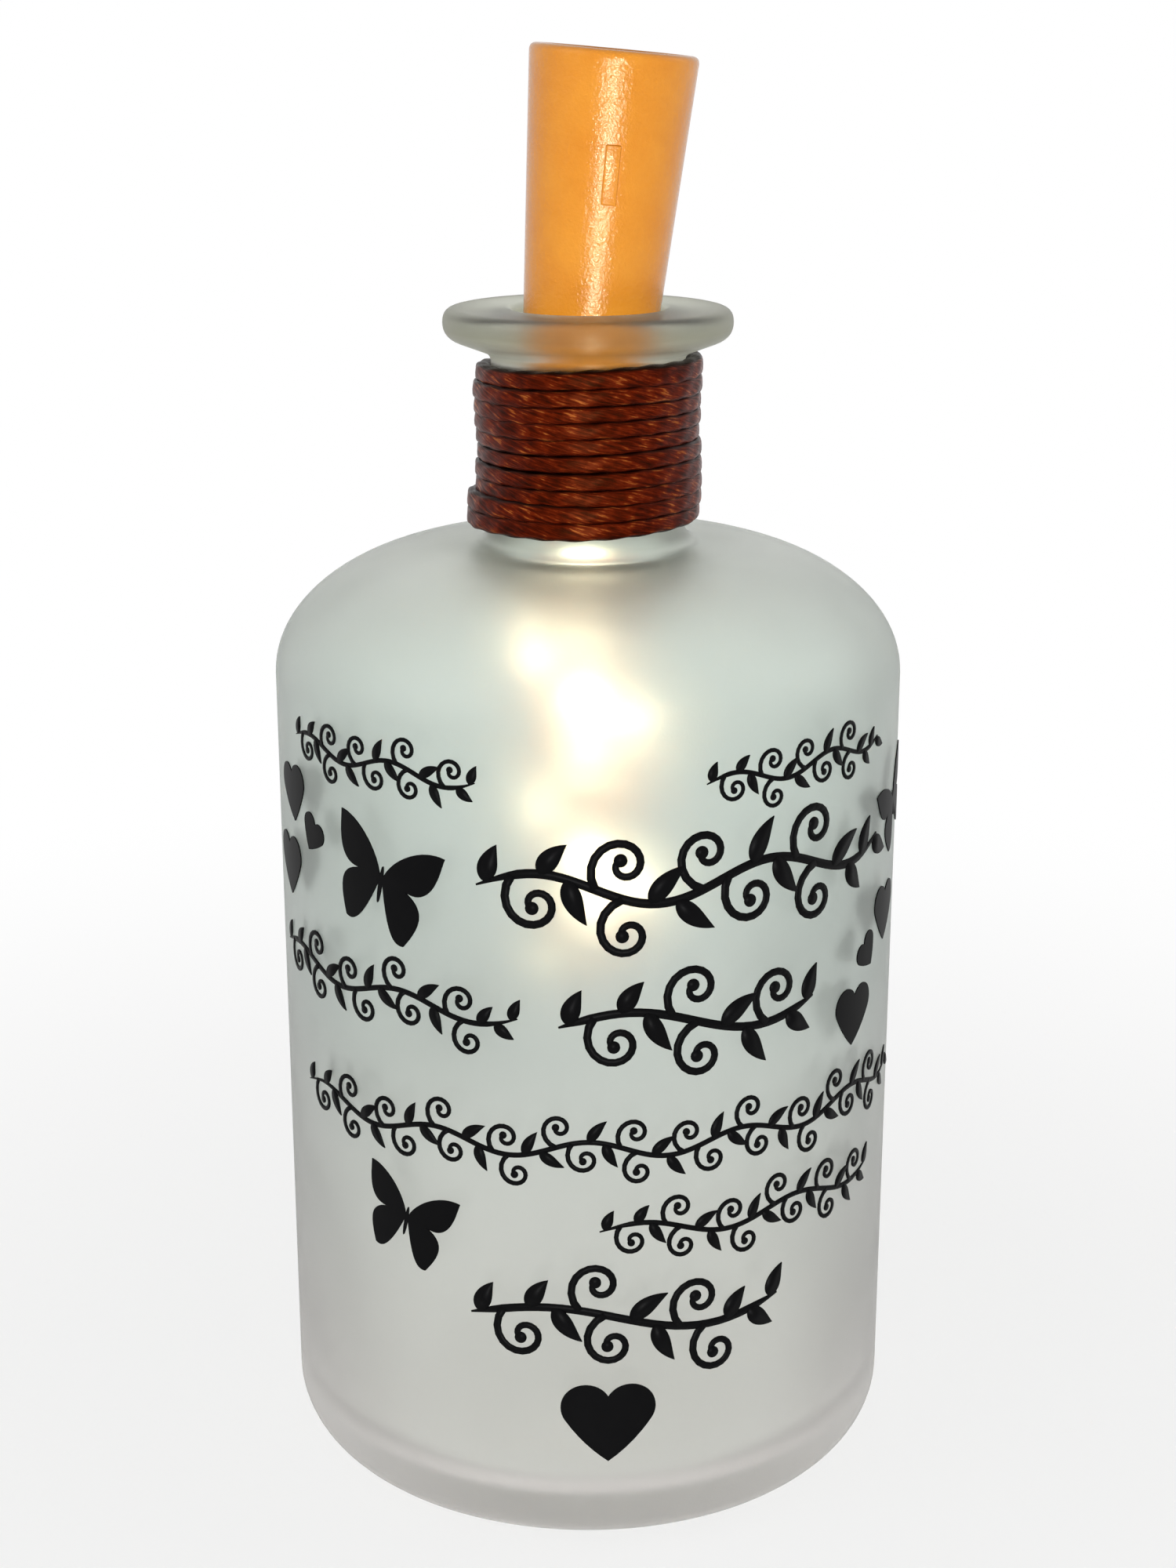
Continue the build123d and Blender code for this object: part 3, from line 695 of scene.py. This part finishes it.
# %% A row of vine
wave_length, wave_steps, leaf_spacing = 2.1, 28, 0.235
stem_sway, stem_width, stem_tip, stem_taper = 0.13, 0.075, 0.2, 9
first_leaf, last_leaf, last_share, nearby = 0.35, 0.7, 0.999, 0.01
end_leaves, end_leaf_size = 2, 0.8


def wrap_on_glass(piece):
    """Wrap a flat mesh round the glass and give it the film's thickness."""
    for vertex in piece.data.vertices:
        across, up, lift = vertex.co
        angle, reach = across / (body_radius * MM), (body_radius + film_gap + film_thickness / 2) * MM + lift
        vertex.co = (reach * sin(angle), -reach * cos(angle), up)
    film = piece.modifiers.new("film", "SOLIDIFY")
    film.thickness, film.offset = film_thickness * MM, 0.0
    bpy.ops.object.modifier_apply(modifier="film")
    face_outwards()


def vine_row(name, start, end, level, end_level, height):
    """A row of vine between two angles from the front, with its level at both ends and its height."""
    first, length = body_radius * radians(start), body_radius * radians(end - start)
    waves, leaves = max(1, round(length / (wave_length * height))), round(length / (leaf_spacing * height))
    curve = bpy.data.curves.new(name, "CURVE")
    curve.dimensions, curve.twist_mode, curve.extrude = "3D", "Z_UP", MM

    def on_stem(share):
        up = stem_sway * height * sin(2 * pi * waves * share)
        return Vector((first + length * share, level + (end_level - level) * share + up))

    shares = [step / (waves * wave_steps) for step in range(waves * wave_steps + 1)]
    full_width = stem_width * height
    widths = [full_width * min(1.0, stem_tip + stem_taper * min(share, 1 - share)) for share in shares]
    draw_stroke(curve, [on_stem(share) for share in shares], widths, stem_lift)
    for number in range(leaves + 1):
        share = min(last_share, (number + first_leaf) / (leaves + last_leaf))
        side = 1 if number % 2 == 0 else -1
        way = on_stem(min(1.0, share + nearby)) - on_stem(max(0.0, share - nearby))
        lean = atan2(way.y, way.x)
        # Pairs of tendrils and pairs of leaves take turns
        if number % 4 < 2 and 0 < number < leaves - 1:
            tendril(curve, on_stem(share), lean, side, height)
        else:
            size = 1.0 if end_leaves < number < leaves - end_leaves else end_leaf_size
            leaf(curve, on_stem(share), lean, side, height, size)
    into_scene(name, curve)
    bpy.ops.object.convert(target="MESH")
    piece = bpy.context.object
    wrap_on_glass(piece)
    return piece


print("film, mm from the axis:", body_radius + film_gap)

# %% [markdown]
# ## Eight rows of vine
# Each row has its own stretch of the glass, in degrees from the front, its level at both ends in millimetres
# and its height. They could be one mesh, but separate rows are easier to move and to name.

# %% Eight rows of vine
vine_places = (
    (-63, -19, 104.0, 103.6, 7.6),
    (20, 62, 103.4, 104.0, 7.6),
    (-19, 63, 91.0, 91.0, 15.0),
    (-72, -12, 74.6, 74.2, 9.0),
    (-5, 43, 73.4, 73.4, 14.5),
    (-62, 76, 57.4, 57.0, 8.6),
    (2, 63, 46.2, 45.4, 8.6),
    (-21, 36, 33.8, 33.8, 14.0),
)
rows = []
for number, vine_place in enumerate(vine_places, start=1):
    row = vine_row(f"vine_row_{number}", *vine_place)
    dress(row, black_vinyl)
    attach(row, "bottle")
    rows.append(row)
print("vine triangles:", [triangles(row) for row in rows])

# %% [markdown]
# ## Cork housing
# The stopper is not cork but a moulding in the colour of cork, tapered like one and open at its top for the
# battery carrier. It could be built leaning, but Spin is easiest round the Z axis, so it is spun upright,
# then leaned over.

# %% Cork housing
cork_length, foot_radius, top_radius, cork_facets = 50.0, 7.6, 10.6, 128
cavity_radius, head_bore, hole_radius, floor_level, seat_level = 6.9, 8.9, 0.9, 2.0, 46.6
cork_edges, cork_edge_steps = (0.8, 1.0, 0.4, 0.15, 0.3, 0.6, 0.2), 7
lean_and_place = Matrix.Translation(cork_foot * MM) @ Matrix.Rotation(cork_lean, 4, "Y")


def lean_over(piece):
    """Move a piece that was made upright at the origin into the leaning cork."""
    piece.data.transform(lean_and_place)
    piece.data.update()


section = [(hole_radius, 0), (foot_radius, 0), (top_radius, cork_length), (head_bore, cork_length),
           (head_bore, seat_level), (cavity_radius, seat_level), (cavity_radius, floor_level),
           (hole_radius, floor_level), (hole_radius, 0)]
outline = [section[0], *rounded(section, cork_edges, cork_edge_steps), section[0]]
cork = spin("cork_housing", outline, cork_facets)
lean_over(cork)
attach(cork, "cork")
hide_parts("cork_shell")
print("cork triangles:", triangles(cork))

# %% [markdown]
# ## Moulded bar
# A plain bar stands proud of the cork's front. It could be cut into the housing, but a block with rounded
# edges that is set into the taper gives the same look with a clean mesh.

# %% Moulded bar
bar_low, bar_high, bar_width, bar_proud, bar_angle = 31.8, 39.0, 1.9, 0.35, radians(4.6)
bar_edge, bar_edge_steps, bar_smoothing = 0.2, 3, radians(40)
bpy.ops.mesh.primitive_cube_add(size=MM)
bar = bpy.context.object
bar.name = "moulded_bar"
bpy.ops.object.mode_set(mode="EDIT")
bpy.ops.transform.resize(value=(bar_width, 2 * bar_proud, bar_high - bar_low))
bpy.ops.mesh.bevel(offset=bar_edge * MM, segments=bar_edge_steps, affect="EDGES")
bpy.ops.object.mode_set(mode="OBJECT")
bpy.ops.object.shade_smooth_by_angle(angle=bar_smoothing)
bar_level = (bar_low + bar_high) / 2
taper = (top_radius - foot_radius) / cork_length
bar.data.transform(Matrix.Rotation(bar_angle, 4, "Z")
                   @ Matrix.Translation(Vector((0, -foot_radius - taper * bar_level, bar_level)) * MM)
                   @ Matrix.Rotation(atan2(taper, 1), 4, "X"))
lean_over(bar)
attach(bar, "cork")
print("bar, mm long:", round(bar_high - bar_low, 1))

# %% [markdown]
# ## Cork-coloured plastic
# The moulding is ABS with a fine spark-eroded grain. The grain breaks the highlight of a lamp into sparks.
# Roughness alone would only blur it, so the bump is sharp and fine, and drawn a little coarser than life so
# that it shows.

# %% Cork-coloured plastic
grain_size, grain_share, blotch_size = 0.5, 0.35, 6
cork_shades = ((0.45, "#D98414"), (0.9, "#E29122"))
cork_plastic, tree, shader, place = new_material("grained_tan_abs", Specular_IOR_Level=0.65,
                                                 Specular_Tint=linear("#FFEACC"))
grain = add_node(tree, "TexNoise", {"Scale": 1 / (grain_size * MM), "Detail": 3.0, "Roughness": 0.65},
                 {"Vector": place})
blotch = add_node(tree, "TexNoise", {"Scale": 1 / (blotch_size * MM), "Detail": 3.0}, {"Vector": place})
tone = add_node(tree, "Math", {1: grain_share}, {0: grain, 2: blotch}, operation="MULTIPLY_ADD")
shade = add_node(tree, "ValToRGB", links={"Fac": tone})
set_stops(shade.color_ramp, cork_shades)
gloss = add_node(tree, "MapRange", {**noise_span, "To Min": 0.22, "To Max": 0.1}, {"Value": grain})
spark = add_node(tree, "Bump", {"Strength": 0.7, "Distance": 0.13 * MM}, {"Height": grain})
plug(tree, shader, Base_Color=shade, Roughness=gloss, Normal=spark)
for piece in (cork, bar, nodes["battery_carrier"]):
    dress(piece, cork_plastic)
print("cork dressed with", cork_plastic.name)

# %% [markdown]
# ## Lamps
# Each lamp is a chip on the wire in a drop of clear resin. When it is lit, the chip is a point of warm white
# and the whole drop glows, and the etched glass turns the drop into a soft patch. A lamp object would light
# the glass but not show in it, so the drop itself gives light. The strengths differ, so that the patches run
# from the upper left to the middle.

# %% Lamps
bead_light = [14.0, 140.0, 16.0, 50.0, 80.0, 9.0, 16.0, 36.0, 16.0, 2.0]
chip_light, chip_swirl, bead_swirl = 60.0, 0.3, 0.8


def glowing(name, shades, strength, size):
    """A lit material whose glow wavers over a size in millimetres."""
    material, tree, shader, _, tone = mottled(name, shades, size, detail=2.0, dents=0.2, Roughness=0.18,
                                              Emission_Strength=strength)
    plug(tree, shader, Emission_Color=tone)
    return material


chip_glow = glowing("lit_phosphor_chip", ("#FFF3D6", "#FFE7AE"), chip_light, chip_swirl)
for number, strength in enumerate(bead_light, start=1):
    bead_glow = glowing(f"lit_resin_bead_{number:02d}", ("#FFF9DC", "#FFF1C2"), strength, bead_swirl)
    dress(nodes[f"led_chip_{number:02d}"], chip_glow)
    dress(nodes[f"led_bead_{number:02d}"], bead_glow)
print("lamps lit:", len(bead_light))

# %% [markdown]
# ## Spring
# Inside the cork, a conical spring presses on the cells. A Screw modifier could make it, but a wire on a
# cone that leans with the cork is a ring that is carried along a line, as the string is.

# %% Spring
spring_low, spring_high, spring_turns, spring_wide, spring_narrow, spring_wire = 14.8, 17.7, 3, 4.0, 2.0, 0.25
spring_points, spring_sides = 32, 10


def in_cork(across, back, level):
    """A point of the leaning cork, in metres: across and back from its axis, and up from its foot."""
    return (cork_foot + cork_right * across + Vector((0, back, 0)) + cork_up * level) * MM


spring_line = []
for count in range(spring_turns * spring_points + 1):
    share, turn = count / (spring_turns * spring_points), 2 * pi * count / spring_points
    reach = spring_wide + (spring_narrow - spring_wide) * share
    level = spring_low + (spring_high - spring_low) * share
    spring_line.append(in_cork(reach * cos(turn), reach * sin(turn), level))
rings = [ring_at(station, spring_wire * MM, spring_sides) for station in frames_along(spring_line, cork_up)]
spring = skin("cone_spring", [rings], spring_sides)
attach(spring, "carrier")
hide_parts("contact_spring")
print("spring triangles:", triangles(spring))

# %% [markdown]
# ## Slack lead
# The string's two wires lie in loose turns under the carrier, so that it can be drawn out. One end stays on
# the cork's floor and the other goes up with the carrier. Here the piece stays where it is made, on neither
# body.

# %% Slack lead
slack_turns, slack_points, slack_reach, slack_low, slack_high = 2.25, 16, 4.2, 4.6, 9.8
slack_foot, slack_top = 2.0, 12.4
slack_rise = ((0, 0, slack_foot), (0, -0.3, 3.3), (2.3, -2.4, 4.1))
slack_end = ((-1.8, 4.6, 10.3), (-1.5, 6.0, 11.0), (-0.2, 6.3, 11.6), (0, 6.275, slack_top))
slack_route = [in_cork(*spot) for spot in slack_rise]
for count in range(int(slack_turns * slack_points) + 1):
    turn, share = 2 * pi * count / slack_points, count / (slack_turns * slack_points)
    level = slack_low + (slack_high - slack_low) * share
    slack_route.append(in_cork(slack_reach * cos(turn), slack_reach * sin(turn), level))
slack_route += [in_cork(*spot) for spot in slack_end]
slack_line = line_points("slack_line", slack_route)
slack = twisted_pair("slack_wire", slack_line, cork_up)
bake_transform(slack)
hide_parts("slack_lead")
print("slack lead, mm:", round(length_of(slack_line) / MM, 1))

# %% [markdown]
# ## Metal and small plastic parts
# The wire has a thin brown enamel, contacts and the switch frame are nickel plated, the cells have a drawn
# steel can, the switch is black nylon and the glue is cloudy. One plain colour would look flat, so colour
# and gloss waver together.

# %% Metal and small plastic parts
gloss_waver = 0.08


def small_part(name, dark, light, roughness, size, metallic=1.0):
    """A metal or plastic whose colour and gloss waver over a size in millimetres."""
    material, tree, shader, mottle, _ = mottled(name, (dark, light), size, Metallic=metallic)
    gloss = add_node(tree, "MapRange", {"To Min": roughness - gloss_waver, "To Max": roughness + gloss_waver},
                     {"Value": mottle})
    plug(tree, shader, Roughness=gloss)
    return material


copper = small_part("enamelled_copper_wire", "#A0562C", "#C97F4A", 0.32, 1.5)
nickel = small_part("nickel_plated_steel", "#B9B4AA", "#D2CEC6", 0.28, 1.0)
can_steel = small_part("drawn_steel_can", "#B4B4B2", "#D6D6D3", 0.3, 0.8)
switch_black = small_part("moulded_black_nylon", "#121213", "#1E1E1F", 0.5, 0.6, metallic=0.0)
hot_melt = small_part("cloudy_hot_melt", "#CDBE93", "#E2D6B0", 0.3, 1.2, metallic=0.0)
for pieces, material in (
    ((light_wire, slack, nodes["switch_lead"]), copper),
    ((spring, nodes["contact_plate"], nodes["switch_frame"], nodes["switch_pins"]), nickel),
    ([nodes[f"button_cell_{number}"] for number in (1, 2, 3)], can_steel),
    ((nodes["switch_base"], nodes["switch_slider"]), switch_black),
    ((nodes["wire_seal"],), hot_melt),
):
    for piece in pieces:
        dress(piece, material)
    print("pieces in", material.name, len(pieces))

# %% [markdown]
# ## Resistor
# The resistor lies across the cork, and its colour bands follow its length. Each band could be a material of
# its own, but a ramp of plain steps needs only the share of the way along. Beyond both ends, it gives the
# grey of the tinned leads.

# %% Resistor
resistor_length, lump_size = 3.6, 0.8
lacquer, tree, shader, place = new_material("banded_resistor_lacquer", Roughness=0.3)
run = add_node(tree, "VectorMath", {1: cork_right / (resistor_length * MM)}, {0: place},
               operation="DOT_PRODUCT")
share = add_node(tree, "Math", {1: 0.5 - cork_foot.dot(cork_right) / resistor_length},
                 {0: run.outputs["Value"]}, operation="ADD")
bands = add_node(tree, "ValToRGB", links={"Fac": share})
bands.color_ramp.interpolation = "CONSTANT"
tinned, lacquered, brown, black, gold = "#B9B4AA", "#CAA974", "#7A3B12", "#161616", "#B8902A"
set_stops(bands.color_ramp, (
    (0.0, tinned), (0.01, lacquered), (0.16, brown), (0.26, lacquered), (0.36, black), (0.46, lacquered),
    (0.56, brown), (0.66, lacquered), (0.78, gold), (0.88, lacquered), (0.99, tinned)))
lumps = add_node(tree, "TexNoise", {"Scale": 1 / (lump_size * MM), "Detail": 2.0}, {"Vector": place})
dents = add_node(tree, "Bump", {"Strength": 0.15, "Distance": dent_depth * MM}, {"Height": lumps})
plug(tree, shader, Base_Color=bands, Normal=dents)
dress(nodes["resistor"], lacquer)
print("steps in the resistor's ramp:", len(bands.color_ramp.elements))

# %% [markdown]
# ## Floor
# The bottle stands on a pale floor that runs out into white. More light would wash the bottle out, so the
# floor itself gives white where it is seen by the camera, in a reflection or through glass. Near the bottle
# it gives less, so that the shadow stays.

# %% Floor
floor_radius, floor_sides = 3.0, 96
shadow_near, shadow_far, near_share = 0.05, 0.30, 0.76
bpy.ops.mesh.primitive_circle_add(vertices=floor_sides, radius=floor_radius, fill_type="NGON")
floor = bpy.context.object
floor.name = "pale_floor"


def seen_directly(tree):
    """One where the camera, a reflection or glass shows a surface, and zero where it only lights."""
    ray = add_node(tree, "LightPath")
    seen = ray.outputs["Is Camera Ray"]
    for kind in ("Is Glossy Ray", "Is Transmission Ray"):
        seen = add_node(tree, "Math", links={0: seen, 1: ray.outputs[kind]}, operation="MAXIMUM")
    return seen


pale_floor, tree, shader, place = new_material("pale_floor", Roughness=0.9, Specular_IOR_Level=0.1,
                                               Base_Color=linear("#F4F4F2"))
away = add_node(tree, "VectorMath", links={0: place}, operation="LENGTH")
fade = add_node(tree, "MapRange",
                {"From Min": shadow_near, "From Max": shadow_far, "To Min": near_share, "To Max": 1.0},
                {"Value": away.outputs["Value"]}, interpolation_type="SMOOTHSTEP")
share = add_node(tree, "Math", links={0: seen_directly(tree), 1: fade}, operation="MULTIPLY")
white = add_node(tree, "Emission", {"Color": (1, 1, 1, 1), "Strength": 1.0})
both = add_node(tree, "MixShader", links={"Fac": share, 1: shader, 2: white})
link_to(tree, tree.nodes["Material Output"], "Surface", both)
dress(floor, pale_floor)
print("floor, m across:", 2 * floor_radius)

# %% [markdown]
# ## White surroundings
# What shows in frosted glass is mostly what is round it, and here that is white. A white world at full
# strength would light everything evenly and leave no form, so it gives only part of that as light.

# %% White surroundings
room_light, room_seen = 0.4, 1.0
world = bpy.data.worlds.new("white_room")
world.use_nodes = True
tree = world.node_tree
tree.nodes.clear()
seen = seen_directly(tree)
level = add_node(tree, "MapRange", {"To Min": room_light, "To Max": room_seen}, {"Value": seen})
sky = add_node(tree, "Background", {"Color": (1, 1, 1, 1)}, {"Strength": level})
add_node(tree, "OutputWorld", links={"Surface": sky})
scene.world = world
print("world:", world.name)

# %% [markdown]
# ## Studio lamps
# A strip lamp below the camera draws the streak on the cork, and two wide lamps give the sides form. A
# lamp's rays stop at glass, and the cork would be dark inside the neck, so by light linking the strip passes
# the bottle. Turning its shadows off would do that too, but then it would also shine through the cork.

# %% Studio lamps
lamp_target = Vector((0, 0, 0.13))
studio_lamps = (
    ("strip_by_camera", (0.01, -0.62, 0.07), 0.032, 0.18, 3.0),
    ("lamp_left", (-0.7, -0.35, 0.6), 0.6, 0.6, 0.9),
    ("lamp_right", (0.8, 0.1, 0.6), 0.6, 0.6, 0.7),
)
lights = {}
for name, spot, width, length, power in studio_lamps:
    lamp = into_scene(name, bpy.data.lights.new(name, "AREA"))
    lamp.data.shape, lamp.data.size, lamp.data.size_y = "RECTANGLE", width, length
    lamp.data.energy = power
    lamp.location = spot
    lamp.rotation_euler = (lamp_target - Vector(spot)).to_track_quat("-Z", "Y").to_euler()
    lights[name] = lamp

past_glass = bpy.data.collections.new("past_glass")
past_glass.objects.link(bottle)
past_glass.collection_objects[0].light_linking.link_state = "EXCLUDE"
linking = lights["strip_by_camera"].light_linking
linking.receiver_collection = linking.blocker_collection = past_glass
print("lamps:", list(lights))
